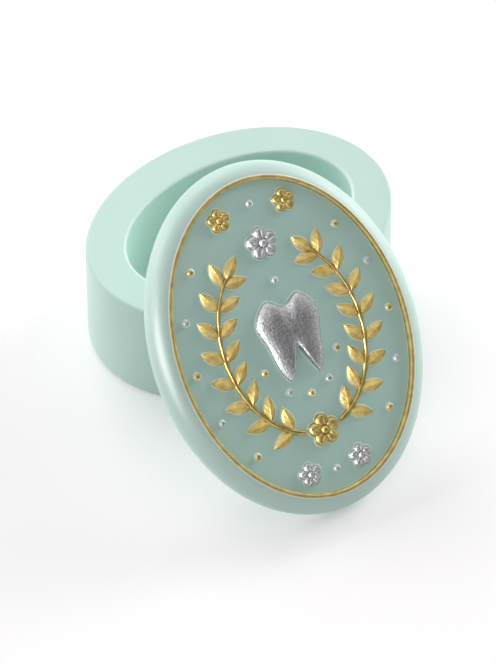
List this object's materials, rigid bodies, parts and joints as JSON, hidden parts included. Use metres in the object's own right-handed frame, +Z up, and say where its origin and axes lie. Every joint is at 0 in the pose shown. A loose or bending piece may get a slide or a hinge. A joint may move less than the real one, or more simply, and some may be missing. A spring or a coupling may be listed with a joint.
{
  "type": "baby tooth box",
  "caption": "Small oval lidded keepsake box in pale mint resin; the lift-off lid with gold and silver relief leans on the open base.",
  "frame": {"origin": "middle of the base's flat foot, on the surface it stands on", "axes": "+X along the base's long axis, +Y to the back, +Z up; the lid leans on the front rim, on the -Y side"},
  "size_m": [0.0726, 0.0831, 0.0481],
  "materials": {
    "mint_resin": "smooth satin cast resin, pale mint",
    "sage_paint": "satin sage paint",
    "antique_gold": "satin gold paint with fine grain",
    "brushed_silver": "grainy silver paint"
  },
  "bodies": {
    "base": {"base_body": "mint_resin"},
    "lid": {"lid_frame": "mint_resin", "medallion_panel": "sage_paint", "gold_border_ring": "antique_gold", "left_sprig": "antique_gold", "right_sprig": "antique_gold", "foot_blossom": "antique_gold", "upper_left_blossom": "antique_gold", "upper_right_blossom": "antique_gold", "gold_bead_1": "antique_gold", "gold_bead_2": "antique_gold", "gold_bead_3": "antique_gold", "gold_bead_4": "antique_gold", "gold_bead_5": "antique_gold", "gold_bead_6": "antique_gold", "gold_bead_7": "antique_gold", "gold_bead_8": "antique_gold", "gold_bead_9": "antique_gold", "tooth_ornament": "brushed_silver", "top_blossom": "brushed_silver", "lower_left_blossom": "brushed_silver", "lower_right_blossom": "brushed_silver", "silver_bead_1": "brushed_silver", "silver_bead_2": "brushed_silver", "silver_bead_3": "brushed_silver", "silver_bead_4": "brushed_silver", "silver_bead_5": "brushed_silver", "silver_bead_6": "brushed_silver", "silver_bead_7": "brushed_silver", "silver_bead_8": "brushed_silver", "silver_bead_9": "brushed_silver"}
  },
  "joints": [
    {"name": "lid_lift", "type": "slide", "parent": "base", "child": "lid", "axis": [0, 0, 1], "range_m": [0, 0.06]}
  ]
}
